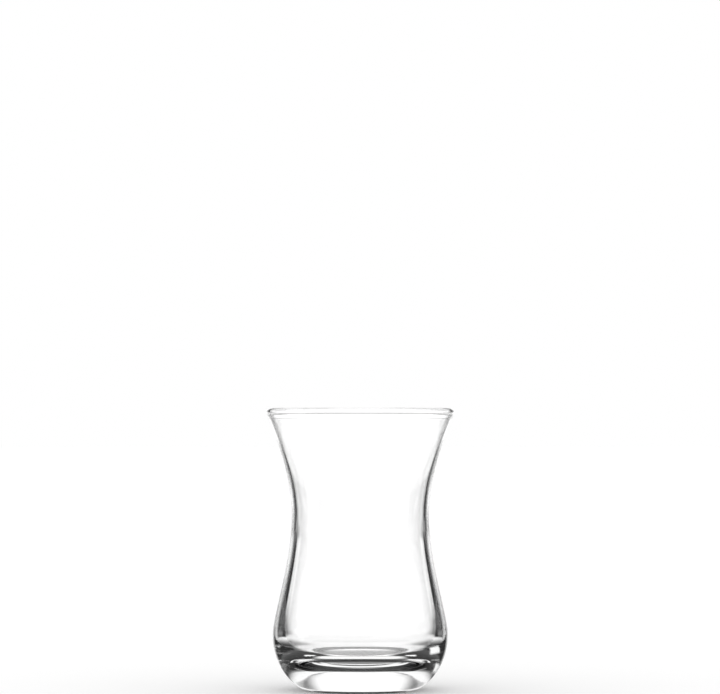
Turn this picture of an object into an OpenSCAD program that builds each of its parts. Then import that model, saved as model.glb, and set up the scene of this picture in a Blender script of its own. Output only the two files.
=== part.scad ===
// Waisted tea glass, blown and pressed in one piece of clear soda-lime glass.
// The glass stands on the ring under its foot, at z = 0, with its axis on Z.
// Its section is one closed outline, turned once round the axis.

/* [Outside] */
// Height from the table to the top of the rim
glass_h = 90; // [78:1:108]
// Diameter across the rim bead
rim_d = 61.3; // [54:0.1:72]
// Outer diameter of the waist
waist_d = 43.8; // [38:0.1:52]
// Height of the outer waist above the table
waist_z = 55.6; // [46:0.1:66]
// Outer diameter of the belly
belly_d = 56; // [48:0.1:66]
// Height of the belly above the table
belly_z = 17.8; // [14:0.1:22]
// Diameter at which the bowl reaches the table
foot_d = 36; // [30:0.1:44]

/* [Wall] */
// Thickness of the wall at the lip, square to the wall
lip_wall = 0.9; // [0.7:0.05:1.6]
// Diameter of the fire-polished bead on the lip
bead_d = 1.75; // [1.65:0.05:2.6]
// Thickness of the wall at the waist
waist_wall = 1.8; // [1.2:0.05:3]
// Thickness of the wall at the belly
belly_wall = 3.75; // [2.5:0.05:6]
// How far the inner waist lies below the outer one
waist_sink = 4.6; // [0:0.1:8]
// How far the widest place inside lies above the belly
hip_lift = 1.3; // [0:0.1:5]

/* [Base] */
// Thickness of the glass under the middle of the floor
base_t = 7.8; // [6:0.1:12]
// How far the hollow under the foot rises in its middle
punt_h = 1.5; // [0.4:0.1:3]
// Width of the flat ring that the glass stands on
ring_w = 1.3; // [0.8:0.1:4]
// Rounding of the foot's outer corner, measured along the table
foot_round = 2.2; // [0.5:0.1:3]

/* [Curves] */
// How much more the lip leans than the line from the waist to the rim, in degrees
flare_extra = 6.8; // [2:0.2:14]
// Angle between the bowl and the table where they meet, in degrees
foot_angle = 34.9; // [28:0.1:45]
// Straight pairs of faces in each curve of the outline
curve_steps = 24; // [12:4:40]

/* [Hidden] */
round_fn = 96;

// Lengths of the curve handles, as shares of the height that each curve spans
foot_reach_share = 0.436;
belly_drop_share = 0.384;
belly_rise_share = 0.167;
waist_drop_share = 0.39;
waist_rise_share = 0.45;
lip_reach_share = 0.14;
hip_rise_share = 0.173;
inner_drop_share = 0.266;
inner_rise_share = 0.441;
inner_reach_share = 0.45;
corner_drop_share = 0.99;
floor_reach_share = 0.68;

belly_r = belly_d / 2;
waist_r = waist_d / 2;
foot_r = foot_d / 2;
bead_r = bead_d / 2;
floor_z = punt_h + base_t;

// Middle of the bead, and the wall's two faces there
bead_at = [rim_d / 2 - bead_r, glass_h - bead_r];
flare_angle = atan((bead_at.x - waist_r) / (bead_at.y - waist_z)) + flare_extra;
lip_along = [sin(flare_angle), cos(flare_angle)];
lip_across = [cos(flare_angle), -sin(flare_angle)];
lip_outer = bead_at + lip_wall / 2 * lip_across;
lip_inner = bead_at - lip_wall / 2 * lip_across;

belly = [belly_r, belly_z];
waist = [waist_r, waist_z];
hip = [belly_r - belly_wall, belly_z + hip_lift];
inner_waist = [waist_r - waist_wall, waist_z - waist_sink];

// The bowl meets the table at this corner, which is rounded off the same way along both
foot_corner = [foot_r, 0];
foot_along = [cos(foot_angle), sin(foot_angle)];
bowl_start = foot_corner + foot_round * foot_along;
ring_outer = foot_corner - [foot_round, 0];
ring_inner = ring_outer - [ring_w, 0];

// Point of a cubic curve with ends a and d and handles b and c
function cubic(a, b, c, d, t) =
    pow(1 - t, 3) * a + 3 * pow(1 - t, 2) * t * b + 3 * (1 - t) * t * t * c + pow(t, 3) * d;

// The same curve as points, without its first one
function curve(a, b, c, d) = [for (i = [1:curve_steps]) cubic(a, b, c, d, i / curve_steps)];

// Upright curve between two places where the wall stands vertical
function upright(low, high, low_share, high_share) =
    let (span = high.y - low.y)
    curve(low, low + [0, span * low_share], high - [0, span * high_share], high);

// Curve from a vertical place up to the lip, which it reaches along the flare
function flared(low, lip, low_share, lip_share) =
    let (span = lip.y - low.y)
    curve(low, low + [0, span * low_share], lip - span * lip_share * lip_along, lip);

function backwards(points) = [for (i = [len(points) - 1:-1:0]) points[i]];

// Shallow hollow under the foot, from its middle out to the ring
function punt() =
    let (middle = [0, punt_h])
    concat(
        [middle],
        curve(middle, [ring_inner.x / 3, punt_h], [ring_inner.x * 2 / 3, punt_h * 2 / 3], ring_inner));

function rounding() =
    curve(ring_outer, (ring_outer + foot_corner * 2) / 3, (bowl_start + foot_corner * 2) / 3, bowl_start);

function bowl() =
    let (span = belly.y - bowl_start.y)
    curve(bowl_start, bowl_start + span * foot_reach_share * foot_along,
        belly - [0, span * belly_drop_share], belly);

function outside() = concat(
    rounding(),
    bowl(),
    upright(belly, waist, belly_rise_share, waist_drop_share),
    flared(waist, lip_outer, waist_rise_share, lip_reach_share));

// Inner face from the middle of the floor, round the corner and up to the lip
function inside() =
    let (floor_middle = [0, floor_z], corner_h = hip.y - floor_z)
    concat(
        [floor_middle],
        curve(floor_middle, floor_middle + [hip.x * floor_reach_share, 0],
            hip - [0, corner_h * corner_drop_share], hip),
        upright(hip, inner_waist, hip_rise_share, inner_drop_share),
        flared(inner_waist, lip_inner, inner_rise_share, inner_reach_share));

module wall_section() {
    polygon(concat(punt(), [ring_outer], outside(), backwards(inside())));
}

module bead_section() {
    translate(bead_at) circle(r = bead_r, $fn = round_fn);
}

module tea_glass() {
    color("azure", 0.4)
    rotate_extrude($fn = round_fn)
    union() {
        wall_section();
        bead_section();
    }
}

tea_glass();
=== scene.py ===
# %% [markdown]
# # A waisted tea glass
#
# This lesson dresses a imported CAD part, a small tea glass of clear soda-lime glass. The real one is
# a single piece: it was pressed and blown in a mould, cut off hot, and its rim was melted round in
# a flame. So there is one body to make, one finish to give it, and most of the work is in two
# things that clear glass lives by: the exact shape of its thick wall, and what stands round it to
# be bent and mirrored.
#
# Everything after it is in metres, with the table at z = 0 and the axis on Z.

# %% Load the frame
import math

import bpy
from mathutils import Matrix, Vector


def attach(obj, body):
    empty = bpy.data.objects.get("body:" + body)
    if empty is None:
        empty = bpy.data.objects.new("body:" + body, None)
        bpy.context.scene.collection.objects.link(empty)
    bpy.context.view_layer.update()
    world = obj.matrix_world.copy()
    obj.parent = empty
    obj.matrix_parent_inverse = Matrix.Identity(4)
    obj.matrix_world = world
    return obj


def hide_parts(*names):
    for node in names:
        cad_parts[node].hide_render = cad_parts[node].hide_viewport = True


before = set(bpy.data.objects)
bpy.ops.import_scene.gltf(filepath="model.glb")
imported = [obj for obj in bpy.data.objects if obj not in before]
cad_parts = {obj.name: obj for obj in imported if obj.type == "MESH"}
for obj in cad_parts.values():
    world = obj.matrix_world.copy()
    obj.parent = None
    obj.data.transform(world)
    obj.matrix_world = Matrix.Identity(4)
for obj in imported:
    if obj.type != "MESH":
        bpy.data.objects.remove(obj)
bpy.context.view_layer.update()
MM = 0.001

# %% [markdown]
# ## The camera
#
# The photograph looks at the glass from about 1.2 m away with a long lens, level with the rim: the
# front and the back of the rim fall on one line, and the foot shows as a very flat ellipse. A level
# camera keeps upright lines upright. The glass stands low in the frame because the frame is
# shifted, not because the camera is tipped, and a lens shift of about a tenth does the same here.

# %% Camera
FRAME_W, FRAME_H = 720, 694
PIXELS_PER_MM = 3.1344
AXIS_X, RIM_Y = 360.3, 410.7
RIM_HEIGHT = 89.12 * MM
DISTANCE = 1.19

sensor_mm = 36.0
lens_mm = PIXELS_PER_MM * DISTANCE / MM * sensor_mm / FRAME_W
camera_data = bpy.data.cameras.new("photo_camera")
camera_data.sensor_width = sensor_mm
camera_data.lens = lens_mm
camera_data.shift_x = (FRAME_W / 2 - AXIS_X) / FRAME_W
camera_data.shift_y = (RIM_Y - FRAME_H / 2) / FRAME_W
camera_data.clip_start = 0.05
camera_data.clip_end = 60
camera = bpy.data.objects.new("photo_camera", camera_data)
camera.location = (0, -DISTANCE, RIM_HEIGHT)
camera.rotation_euler = (math.radians(90), 0, 0)
bpy.context.collection.objects.link(camera)
bpy.context.scene.camera = camera
print("lens in mm:", round(lens_mm, 1))

# %% [markdown]
# ## The outline of the wall
#
# A glass like this is a body of revolution: one closed outline, turned once round the axis. It
# could be modelled as a cylinder pushed into shape, but then the inside and the outside would only
# be as exact as the pushing. Drawn as a curve, each is as exact as its points, and the thick
# bottom, the thin lip and the bead on the rim come out of the same line.
#
# The outline is one Bezier spline. Each point has a place (its distance from the axis and its
# height) and two handles, which say how the line arrives and how it leaves. The sizes are the ones
# that the CAD source uses.

# %% Sizes of the glass, in millimetres
HEIGHT = 90.0
RIM_R = 30.65
WAIST_R, WAIST_Z = 21.9, 55.6
BELLY_R, BELLY_Z = 28.0, 17.8
FOOT_R = 18.0
LIP_WALL, BEAD_R = 0.9, 0.875
WAIST_WALL, BELLY_WALL = 1.8, 3.75
WAIST_SINK, HIP_LIFT = 4.6, 1.3
BASE_T, PUNT_H, RING_W, FOOT_ROUND = 7.8, 1.5, 1.3, 2.2
FLARE_EXTRA = math.radians(6.8)
FOOT_ANGLE = math.radians(34.9)

# Lengths of the curve handles, as shares of the height that each curve spans
FOOT_REACH, BELLY_DROP = 0.436, 0.384
BELLY_RISE, WAIST_DROP = 0.167, 0.39
WAIST_RISE, LIP_REACH = 0.45, 0.14
INNER_REACH, INNER_RISE = 0.45, 0.441
INNER_DROP, HIP_RISE = 0.266, 0.173
CORNER_DROP, FLOOR_REACH = 0.99, 0.68
print("floor of the hollow in mm:", PUNT_H + BASE_T, " lip wall in mm:", LIP_WALL)

# %% Places on the outline
waist = Vector((WAIST_R, WAIST_Z))
belly = Vector((BELLY_R, BELLY_Z))
hip = Vector((BELLY_R - BELLY_WALL, BELLY_Z + HIP_LIFT))
inner_waist = Vector((WAIST_R - WAIST_WALL, WAIST_Z - WAIST_SINK))
floor_middle = Vector((0, PUNT_H + BASE_T))
punt_middle = Vector((0, PUNT_H))
foot_corner = Vector((FOOT_R, 0))
foot_along = Vector((math.cos(FOOT_ANGLE), math.sin(FOOT_ANGLE)))
bowl_start = foot_corner + FOOT_ROUND * foot_along
ring_outer = foot_corner - Vector((FOOT_ROUND, 0))
ring_inner = ring_outer - Vector((RING_W, 0))
bead_middle = Vector((RIM_R - BEAD_R, HEIGHT - BEAD_R))
flare = math.atan2(bead_middle.x - waist.x, bead_middle.y - waist.y) + FLARE_EXTRA
lip_along = Vector((math.sin(flare), math.cos(flare)))
lip_across = Vector((math.cos(flare), -math.sin(flare)))
print("the lip leans out by, in degrees:", round(math.degrees(flare), 1))


# %% The bead on the rim
# The two faces of the wall run into the bead's circle where it is just as wide as the wall. Between
# them the circle is drawn in four arcs, because one Bezier curve can't be a whole circle.
half_lip = LIP_WALL / 2
meet = math.sqrt(BEAD_R**2 - half_lip**2)
lip_outer = bead_middle + half_lip * lip_across - meet * lip_along
lip_inner = bead_middle - half_lip * lip_across - meet * lip_along
first_angle = math.atan2(lip_outer.y - bead_middle.y, lip_outer.x - bead_middle.x)
last_angle = math.atan2(lip_inner.y - bead_middle.y, lip_inner.x - bead_middle.x) + 2 * math.pi
BEAD_ARCS = 4
arc = (last_angle - first_angle) / BEAD_ARCS
bead_handle = 4 / 3 * math.tan(arc / 4) * BEAD_R
bead = []
for i in range(BEAD_ARCS + 1):
    angle = first_angle + i * arc
    place = bead_middle + BEAD_R * Vector((math.cos(angle), math.sin(angle)))
    step = bead_handle * Vector((-math.sin(angle), math.cos(angle)))
    bead.append([place - step, place, place + step])
print("arcs in the bead:", BEAD_ARCS)


# %% The whole outline, point by point
def up(low, high, share):
    """A handle that points straight up, as long as a share of the height that the curve spans."""
    return Vector((0, (high.y - low.y) * share))


bead[0][0] = lip_outer - (lip_outer.y - waist.y) * LIP_REACH * lip_along
bead[-1][2] = lip_inner - (lip_inner.y - inner_waist.y) * INNER_REACH * lip_along
bowl_handle = bowl_start + (belly.y - bowl_start.y) * FOOT_REACH * foot_along
inner_waist_above = inner_waist + up(inner_waist, lip_inner, INNER_RISE)
inner_waist_below = inner_waist - up(hip, inner_waist, INNER_DROP)
hip_above = hip + up(hip, inner_waist, HIP_RISE)
hip_below = hip - up(floor_middle, hip, CORNER_DROP)

# Each point of the line: the handle before it, its place, and the handle after it
outline = [
    [punt_middle, punt_middle, Vector((ring_inner.x / 3, PUNT_H))],
    [ring_inner * 2 / 3 + Vector((0, PUNT_H * 2 / 3)), ring_inner, ring_inner.lerp(ring_outer, 1 / 3)],
    [ring_outer.lerp(ring_inner, 1 / 3), ring_outer, ring_outer.lerp(foot_corner, 2 / 3)],
    [bowl_start.lerp(foot_corner, 2 / 3), bowl_start, bowl_handle],
    [belly - up(bowl_start, belly, BELLY_DROP), belly, belly + up(belly, waist, BELLY_RISE)],
    [waist - up(belly, waist, WAIST_DROP), waist, waist + up(waist, lip_outer, WAIST_RISE)],
    *bead,
    [inner_waist_above, inner_waist, inner_waist_below],
    [hip_above, hip, hip_below],
    [floor_middle + Vector((hip.x * FLOOR_REACH, 0)), floor_middle, floor_middle],
]
print("points on the outline:", len(outline))

# %% The same line as a curve object
section_data = bpy.data.curves.new("tea_glass_outline", "CURVE")
section_data.dimensions = "3D"
spline = section_data.splines.new("BEZIER")
spline.bezier_points.add(len(outline) - 1)
for point, (left, place, right) in zip(spline.bezier_points, outline):
    point.handle_left_type = point.handle_right_type = "FREE"
    point.handle_left = (left.x * MM, left.y * MM, 0)
    point.co = (place.x * MM, place.y * MM, 0)
    point.handle_right = (right.x * MM, right.y * MM, 0)
section = bpy.data.objects.new("tea_glass_outline", section_data)
bpy.context.collection.objects.link(section)
print("curve:", section.name)

# %% [markdown]
# ## Turning it on a lathe
#
# Geometry Nodes do the turning. The tree reads the outline, lays out a flat grid with one row of
# points for each place on the outline and one column for each step round the axis, and then moves
# every grid point to where it belongs: its row says how far from the axis and how high, its column
# says at what angle. Merging by distance closes the seam, and the points that fall together on the
# axis become one pole each. A Screw modifier could do it too, but the tree keeps the two step
# counts as named inputs, and the same tree would turn any other outline.


# %% One function that adds a node
def add(tree, kind, links=None, **settings):
    """Adds a node to a tree, sets its properties, and fills each input with a value or a link."""
    node = tree.nodes.new(kind)
    for name, value in settings.items():
        setattr(node, name, value)
    for key, value in (links or {}).items():
        if isinstance(value, bpy.types.NodeSocket):
            tree.links.new(value, node.inputs[key])
        else:
            node.inputs[key].default_value = value
    return node


# %% The lathe and its named inputs
lathe = bpy.data.node_groups.new("lathe", "GeometryNodeTree")
INPUTS = [
    ("Outline", "NodeSocketObject"),
    ("Steps round", "NodeSocketInt"),
    ("Steps along each curve", "NodeSocketInt"),
    ("Weld distance", "NodeSocketFloat"),
    ("Finish", "NodeSocketMaterial"),
]
socket_id = {}
for name, kind in INPUTS:
    socket_id[name] = lathe.interface.new_socket(name, in_out="INPUT", socket_type=kind).identifier
lathe.interface.new_socket("Glass", in_out="OUTPUT", socket_type="NodeSocketGeometry")
given = add(lathe, "NodeGroupInput").outputs
print("inputs:", list(socket_id))

# %% Read the outline and lay out the grid
drawn = add(lathe, "GeometryNodeObjectInfo", {"Object": given["Outline"]}).outputs["Geometry"]
smooth = add(
    lathe,
    "GeometryNodeSetSplineResolution",
    {"Geometry": drawn, "Resolution": given["Steps along each curve"]},
)
places = add(lathe, "GeometryNodeResampleCurve", {"Curve": smooth.outputs[0]}, mode="EVALUATED").outputs[0]
counted = add(lathe, "GeometryNodeAttributeDomainSize", {"Geometry": places}, component="CURVE")
rows = counted.outputs["Point Count"]
columns = add(lathe, "ShaderNodeMath", {0: given["Steps round"], 1: 1.0}, operation="ADD").outputs[0]
grid_inputs = {"Size X": 1.0, "Size Y": 1.0, "Vertices X": rows, "Vertices Y": columns}
grid = add(lathe, "GeometryNodeMeshGrid", grid_inputs).outputs["Mesh"]
print("nodes so far:", len(lathe.nodes))

# %% Find each grid point's row and turn
# The grid runs from -0.5 to 0.5 both ways: x gives the row, y the turn
flat = add(lathe, "ShaderNodeSeparateXYZ", {0: add(lathe, "GeometryNodeInputPosition").outputs[0]}).outputs
last_row = add(lathe, "ShaderNodeMath", {0: rows, 1: 1.0}, operation="SUBTRACT").outputs[0]
share = add(lathe, "ShaderNodeMath", {0: flat["X"], 1: 0.5}, operation="ADD").outputs[0]
about_row = add(lathe, "ShaderNodeMath", {0: share, 1: last_row}, operation="MULTIPLY").outputs[0]
row = add(lathe, "ShaderNodeMath", {0: about_row}, operation="ROUND").outputs[0]
turn = add(lathe, "ShaderNodeMath", {0: flat["Y"], 1: 2 * math.pi}, operation="MULTIPLY").outputs[0]

print("nodes so far:", len(lathe.nodes))

# %% Look up the row's place on the outline and swing it round the axis
line_place = add(lathe, "GeometryNodeInputPosition").outputs[0]
sample = add(lathe, "GeometryNodeSampleIndex", data_type="FLOAT_VECTOR", domain="POINT")
lathe.links.new(places, sample.inputs["Geometry"])
lathe.links.new(line_place, sample.inputs["Value"])
lathe.links.new(row, sample.inputs["Index"])
spot = add(lathe, "ShaderNodeSeparateXYZ", {0: sample.outputs[0]}).outputs
cosine = add(lathe, "ShaderNodeMath", {0: turn}, operation="COSINE").outputs[0]
sine = add(lathe, "ShaderNodeMath", {0: turn}, operation="SINE").outputs[0]
x = add(lathe, "ShaderNodeMath", {0: spot["X"], 1: cosine}, operation="MULTIPLY").outputs[0]
y = add(lathe, "ShaderNodeMath", {0: spot["X"], 1: sine}, operation="MULTIPLY").outputs[0]
target = add(lathe, "ShaderNodeCombineXYZ", {"X": x, "Y": y, "Z": spot["Y"]}).outputs[0]
print("nodes so far:", len(lathe.nodes))

# %% Move, weld, smooth and finish
turned = add(lathe, "GeometryNodeSetPosition", {"Geometry": grid, "Position": target}).outputs[0]
weld_inputs = {"Geometry": turned, "Distance": given["Weld distance"]}
welded = add(lathe, "GeometryNodeMergeByDistance", weld_inputs).outputs[0]
shaded = add(lathe, "GeometryNodeSetShadeSmooth", {"Geometry": welded, "Shade Smooth": True}).outputs[0]
real = add(lathe, "GeometryNodeRealizeInstances", {"Geometry": shaded}).outputs[0]
finished = add(lathe, "GeometryNodeSetMaterial", {"Geometry": real, "Material": given["Finish"]}).outputs[0]
add(lathe, "NodeGroupOutput", {0: finished})
print("nodes in the lathe:", len(lathe.nodes))


# %% [markdown]
# ## The glass itself
#
# Soda-lime glass is clear, bends light with an index of 1.52 and has a fire-polished skin: smooth
# as water, yet not quite even, because it froze while it still flowed. So the finish is a
# transmitting Principled shader with no roughness and a very low, slow ripple, a few thousandths of
# a millimetre high, which makes reflections in the thick bottom waver. The ring that the glass
# stands on is the one place that ever rubs, so it is slightly matt.


# %% Colours
def linear(hex_colour):
    """Turns an sRGB hex colour into the linear values that a shader expects."""
    channels = [int(hex_colour[i : i + 2], 16) / 255 for i in (1, 3, 5)]
    return [c / 12.92 if c <= 0.04045 else ((c + 0.055) / 1.055) ** 2.4 for c in channels] + [1]


CLEAR = linear("#FFFFFF")
print("white as the shader wants it:", CLEAR)

# %% The fire-polished skin
glass = bpy.data.materials.new("soda_lime_glass_fire_polished")
glass.use_nodes = True
tree = glass.node_tree
tree.nodes.clear()
spots = add(tree, "ShaderNodeTexCoord").outputs["Object"]

# Ripples about 9 mm long round the glass and 20 mm up it, drawn as deep as they need to show
RIPPLE_ROUND, RIPPLE_UP = 9.0 * MM, 20.0 * MM
RIPPLE_H = 0.008 * MM
stretch = (1, 1, RIPPLE_ROUND / RIPPLE_UP)
stretched = add(tree, "ShaderNodeMapping", {"Vector": spots, "Scale": stretch}).outputs[0]
noise_inputs = {"Vector": stretched, "Scale": 1 / RIPPLE_ROUND, "Detail": 1.0, "Roughness": 0.4}
ripple = add(tree, "ShaderNodeTexNoise", noise_inputs).outputs[0]
bump_inputs = {"Strength": 1.0, "Distance": RIPPLE_H, "Height": ripple}
skin = add(tree, "ShaderNodeBump", bump_inputs).outputs[0]
print("ripple height in mm:", RIPPLE_H / MM)

# %% The rubbed ring and the clear glass
# Matt in the lowest 0.05 mm, and polished from 0.2 mm up
RUBBED_TO, POLISHED_FROM = 0.05 * MM, 0.2 * MM
RUBBED_ROUGH, POLISHED_ROUGH = 0.3, 0.0
height = add(tree, "ShaderNodeSeparateXYZ", {0: spots}).outputs["Z"]
rubbed_inputs = {"Value": height, "From Min": RUBBED_TO, "From Max": POLISHED_FROM}
rubbed_inputs.update({"To Min": RUBBED_ROUGH, "To Max": POLISHED_ROUGH})
rubbed = add(tree, "ShaderNodeMapRange", rubbed_inputs).outputs[0]
shader = add(tree, "ShaderNodeBsdfPrincipled", {"Roughness": rubbed, "Normal": skin})
shader.inputs["Base Color"].default_value = CLEAR
shader.inputs["Transmission Weight"].default_value = 1.0
shader.inputs["IOR"].default_value = 1.52
add(tree, "ShaderNodeOutputMaterial", {"Surface": shader.outputs[0]})
print("finish:", glass.name)

# %% Turn the outline into the glass
blank = bpy.data.objects.new("lathe_blank", bpy.data.meshes.new("lathe_blank"))
bpy.context.collection.objects.link(blank)
modifier = blank.modifiers.new("lathe", "NODES")
modifier.node_group = lathe
modifier[socket_id["Outline"]] = section
modifier[socket_id["Steps round"]] = 240
modifier[socket_id["Steps along each curve"]] = 24
modifier[socket_id["Weld distance"]] = 0.002 * MM
modifier[socket_id["Finish"]] = glass

depsgraph = bpy.context.evaluated_depsgraph_get()
mesh = bpy.data.meshes.new_from_object(blank.evaluated_get(depsgraph))
mesh.name = "tea_glass_body"

# The grid node leaves an empty material slot in front of the glass
mesh.materials.pop(index=0)
mesh.polygons.foreach_set("material_index", [0] * len(mesh.polygons))
tea_glass = bpy.data.objects.new("tea_glass_body", mesh)
bpy.context.collection.objects.link(tea_glass)
blank.modifiers.clear()
bpy.data.objects.remove(blank)
bpy.data.objects.remove(section)
print("triangles:", sum(len(p.vertices) - 2 for p in mesh.polygons))
print("materials:", [m.name for m in mesh.materials])

# %% Check that the faces point out and that the skin is closed
import bmesh

work = bmesh.new()
work.from_mesh(mesh)
bmesh.ops.recalc_face_normals(work, faces=work.faces)
if work.calc_volume(signed=True) < 0:
    bmesh.ops.reverse_faces(work, faces=work.faces)
open_edges = sum(not e.is_manifold for e in work.edges)
volume_ml = work.calc_volume() * 1e6
work.to_mesh(mesh)
work.free()
print("open edges:", open_edges, " glass in ml:", round(volume_ml, 2))

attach(tea_glass, "root")
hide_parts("tea_glass")

# %% [markdown]
# ## The table
#
# Clear glass has no colour of its own, so the photograph is mostly a picture of what stands round
# it. The table is a pale board, and the eye sees it as white with the faint shadow of the glass.
#
# A board could be one plain colour, but then the thick base would be too. A photographer shades
# the board close to the foot with cards that stay out of the picture, and the base bends that
# shade into its dark sides. Here that shade is painted on the board itself, which shows two faces.
# Light Path tells rays that have gone through the glass from those of the eye and the lamps, and
# only the first kind meets the painted shade: dim under the hollow of the foot, a painted shadow
# under the ring, bright just outside it, then dark to the left and right. Further out the painted
# shade fades away, and those rays pass through the board to the panels of the studio.

# %% The board as the eye and the light see it
board = bpy.data.materials.new("white_laminated_table_board")
board.use_nodes = True
tree = board.node_tree
tree.nodes.clear()

# A little light of its own, for the eye only, makes the open board white and leaves the shadow
LIFT = 0.13
matt = add(tree, "ShaderNodeBsdfDiffuse", {"Color": linear("#F2F2F2")}).outputs[0]
lift = add(tree, "ShaderNodeEmission", {"Color": CLEAR, "Strength": LIFT}).outputs[0]
open_board = add(tree, "ShaderNodeAddShader", {0: matt, 1: lift}).outputs[0]
rays = add(tree, "ShaderNodeLightPath").outputs
seen_inputs = {0: rays["Is Camera Ray"], 1: matt, 2: open_board}
seen_board = add(tree, "ShaderNodeMixShader", seen_inputs).outputs[0]
print("board:", board.name)


# %% A soft-edged band
# Stands for an edge so far out that no value ever meets it
FAR = 999


def band(tree, value, low, high, soft, full=1.0):
    """Full where the value lies between low and high, nothing outside, each edge soft both ways."""
    start = {"Value": value, "From Min": low - soft, "From Max": low + soft, "To Max": full}
    begun = add(tree, "ShaderNodeMapRange", start, interpolation_type="SMOOTHSTEP").outputs[0]
    stop = {"Value": value, "From Min": high - soft, "From Max": high + soft}
    stop.update({"To Min": begun, "To Max": 0.0})
    return add(tree, "ShaderNodeMapRange", stop, interpolation_type="SMOOTHSTEP").outputs[0]


# %% Rings of painted shade and light that only the glass sees
spots = add(tree, "ShaderNodeTexCoord").outputs["Object"]
reach = add(tree, "ShaderNodeVectorMath", {0: spots}, operation="LENGTH").outputs["Value"]

# Inner and outer radius in mm, and the painted brightness
RINGS = [
    (-FAR, 12.8, 0.24),
    (18, 26, 1.0),
    (26, FAR, 1.05),
]
RING_SOFT = 0.9 * MM
painted_brightness = 0.0
for inner, outer, level in RINGS:
    ring = band(tree, reach, inner * MM, outer * MM, RING_SOFT, level)
    painted_brightness = add(tree, "ShaderNodeMath", {0: painted_brightness, 1: ring}, operation="ADD").outputs[0]
print("rings:", len(RINGS))

# %% Painted shade to the left and right, where the way from the foot runs mostly sideways
# How bright the shade and the unlit sides of the studio still are
DARK = 0.03
SHADE_FROM, SHADE_SOFT = 27 * MM, 3 * MM
SHADE_DEPTH = 0.96

# A spot's distance to the side, as a share of its whole distance from the axis
SIDE_SHARE, SIDE_SOFT = 0.68, 0.18
sideways = add(tree, "ShaderNodeSeparateXYZ", {0: spots}).outputs["X"]
distance = add(tree, "ShaderNodeMath", {0: sideways}, operation="ABSOLUTE").outputs[0]
share = add(tree, "ShaderNodeMath", {0: distance, 1: reach}, operation="DIVIDE").outputs[0]
# Painted shade: the board's brightness falls towards DARK at the sides, from SHADE_FROM outwards
depth = band(tree, reach, SHADE_FROM, FAR, SHADE_SOFT, SHADE_DEPTH)
shade = band(tree, share, SIDE_SHARE, FAR, SIDE_SOFT, depth)
shaded = add(tree, "ShaderNodeMix", {0: shade, 2: painted_brightness, 3: DARK}, data_type="FLOAT").outputs[0]
print("shade begins at, in mm:", round(SHADE_FROM / MM))

# %% Let each kind of ray meet its own board
PATCH_R, PATCH_SOFT = 54 * MM, 18 * MM
# The patch glows with the painted shade and painted light, in place of the lit board under the glass
painted_light_and_shade = add(tree, "ShaderNodeEmission", {"Color": CLEAR, "Strength": shaded}).outputs[0]
nothing = add(tree, "ShaderNodeBsdfTransparent").outputs[0]
near = band(tree, reach, -FAR, PATCH_R, PATCH_SOFT)
through_glass = add(tree, "ShaderNodeMixShader", {0: near, 1: nothing, 2: painted_light_and_shade}).outputs[0]
either = {0: rays["Is Glossy Ray"], 1: rays["Is Transmission Ray"]}
bent = add(tree, "ShaderNodeMath", either, operation="MAXIMUM").outputs[0]
final = add(tree, "ShaderNodeMixShader", {0: bent, 1: seen_board, 2: through_glass}).outputs[0]
add(tree, "ShaderNodeOutputMaterial", {"Surface": final})
print("nodes in the board:", len(tree.nodes))

# %% The table
TABLE_R = 8.0
bpy.ops.mesh.primitive_circle_add(vertices=96, radius=TABLE_R, fill_type="NGON")
table = bpy.context.object
table.name = "table_board"
table.data.materials.append(board)
print("table radius in m:", TABLE_R)

# %% [markdown]
# ## The studio
#
# The glass stands in bright-field light, as a photographer of glassware sets it: a broad white
# panel straight behind it, and darkness to both sides, with one narrow lamp on each side in it.
# Through the middle of the glass the eye looks at the panel. Near the edges the thick wall bends
# the line of sight by 30 degrees and more, into the dark, and so each wall draws itself as a dark
# line, with the narrow lamp as a bright one along its outer side.
#
# The panels could be lit planes standing round the glass, but then the table would need lamps of
# its own, and each plane would be seen from some other side. Drawn on the world by direction, they
# are met only by bent and mirrored rays. The eye itself, and the light that falls on the table,
# see plain white. Two more panels stand behind the glass as it is seen from its right side and
# from its back left corner, so that it draws itself there too.
#
# Each clear face keeps back 4 % of the light that goes through it, and there are four of them. So
# the panels are a fifth brighter than white, to look white through the glass. The narrow lamps are
# a little brighter still, because glass keeps back more of the light that meets it at a slant.

# %% The world, and one panel in it
world = bpy.data.worlds.new("glass_studio")
bpy.context.scene.world = world
world.use_nodes = True
tree = world.node_tree
tree.nodes.clear()
way = add(tree, "ShaderNodeTexCoord").outputs["Generated"]
part = add(tree, "ShaderNodeSeparateXYZ", {0: way}).outputs
both = {0: part["X"], 1: part["Y"]}
bearing = add(tree, "ShaderNodeMath", both, operation="ARCTAN2").outputs[0]
rise = add(tree, "ShaderNodeMath", {0: part["Z"]}, operation="ARCSINE").outputs[0]


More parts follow.
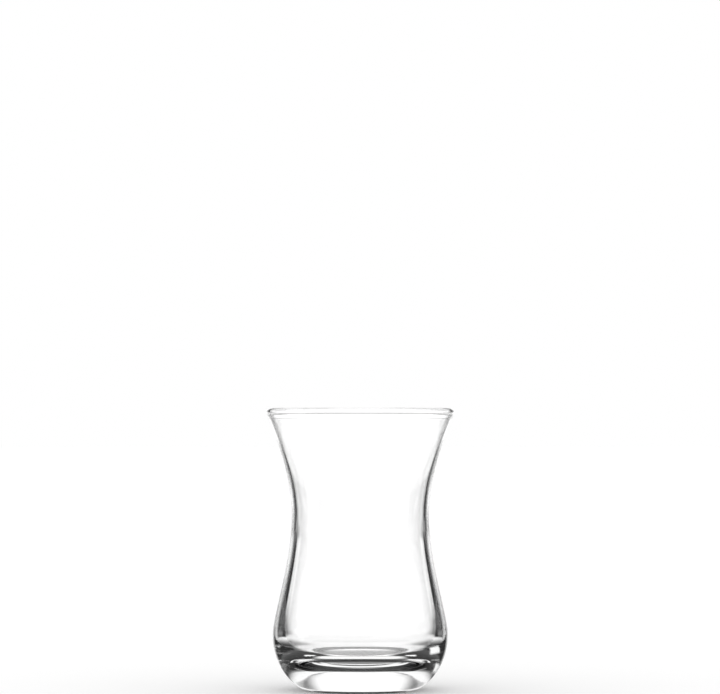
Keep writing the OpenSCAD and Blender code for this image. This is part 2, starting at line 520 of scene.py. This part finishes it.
def panel(name, middle, half, bottom, top, soft, strength, spread=0.0):
    """A soft-edged panel of light, drawn by direction. All but its strength are in degrees.

    Its middle is a bearing from +Y, half is half its width, bottom and top are angles over the
    horizon. A spread makes it that many degrees wider each way for each degree higher up.
    """
    from_middle = {0: bearing, 1: math.radians(middle)}
    turned = add(tree, "ShaderNodeMath", from_middle, operation="SUBTRACT").outputs[0]
    half_turns = {0: turned, 1: -math.pi, 2: math.pi}
    wrapped = add(tree, "ShaderNodeMath", half_turns, operation="WRAP").outputs[0]
    off = add(tree, "ShaderNodeMath", {0: wrapped}, operation="ABSOLUTE").outputs[0]
    wider_up = {0: rise, 1: -spread, 2: off}
    off_edge = add(tree, "ShaderNodeMath", wider_up, operation="MULTIPLY_ADD").outputs[0]
    edge = math.radians(soft)
    wide = band(tree, off_edge, -FAR, math.radians(half), edge, strength)
    print("panel:", name)
    return band(tree, rise, math.radians(bottom), math.radians(top), edge, wide)


# %% The panels
# A bottom past straight down, for a panel without a lower end, and a half width for all round
DOWN, ROUND = -120, 360
WHITE, TABLE_WHITE, LAMP = 1.2, 1.17, 1.35
panels = [
    panel("behind", 0, 25.6, DOWN, 41, 7.4, WHITE, spread=0.45),
    panel("narrow lamp to the right", 50, 6.5, -2.5, 2.5, 2.2, LAMP),
    panel("narrow lamp to the left", -50, 6.5, -2.5, 2.5, 2.2, LAMP),
    panel("left", -90, 11, DOWN, 5, 3, WHITE),
    panel("front right corner", 135, 28, DOWN, -8, 3, WHITE),
    panel("table all round", 0, ROUND, DOWN, -15.4, 1.5, TABLE_WHITE),
]
print("panels:", len(panels))

# %% Join the panels, and let each kind of ray meet its own studio
bent_light = DARK
for lit in panels:
    brighter = {0: bent_light, 1: lit}
    bent_light = add(tree, "ShaderNodeMath", brighter, operation="MAXIMUM").outputs[0]
rays = add(tree, "ShaderNodeLightPath").outputs
either = {0: rays["Is Glossy Ray"], 1: rays["Is Transmission Ray"]}
bent = add(tree, "ShaderNodeMath", either, operation="MAXIMUM").outputs[0]
sky_inputs = {0: bent, 2: 1.0, 3: bent_light}
sky = add(tree, "ShaderNodeMix", sky_inputs, data_type="FLOAT").outputs[0]
light = add(tree, "ShaderNodeBackground", {"Color": CLEAR, "Strength": sky}).outputs[0]
add(tree, "ShaderNodeOutputWorld", {"Surface": light})
print("world:", world.name)

# %% Bounces and view
# Light is turned round many times inside thick glass, so it may bounce often before it is given up
cycles = bpy.context.scene.cycles
cycles.max_bounces = 24
cycles.glossy_bounces = 16
cycles.transmission_bounces = 24

view = bpy.context.scene.view_settings
view.view_transform = "Standard"
print("bounces:", cycles.max_bounces, " view:", view.view_transform)
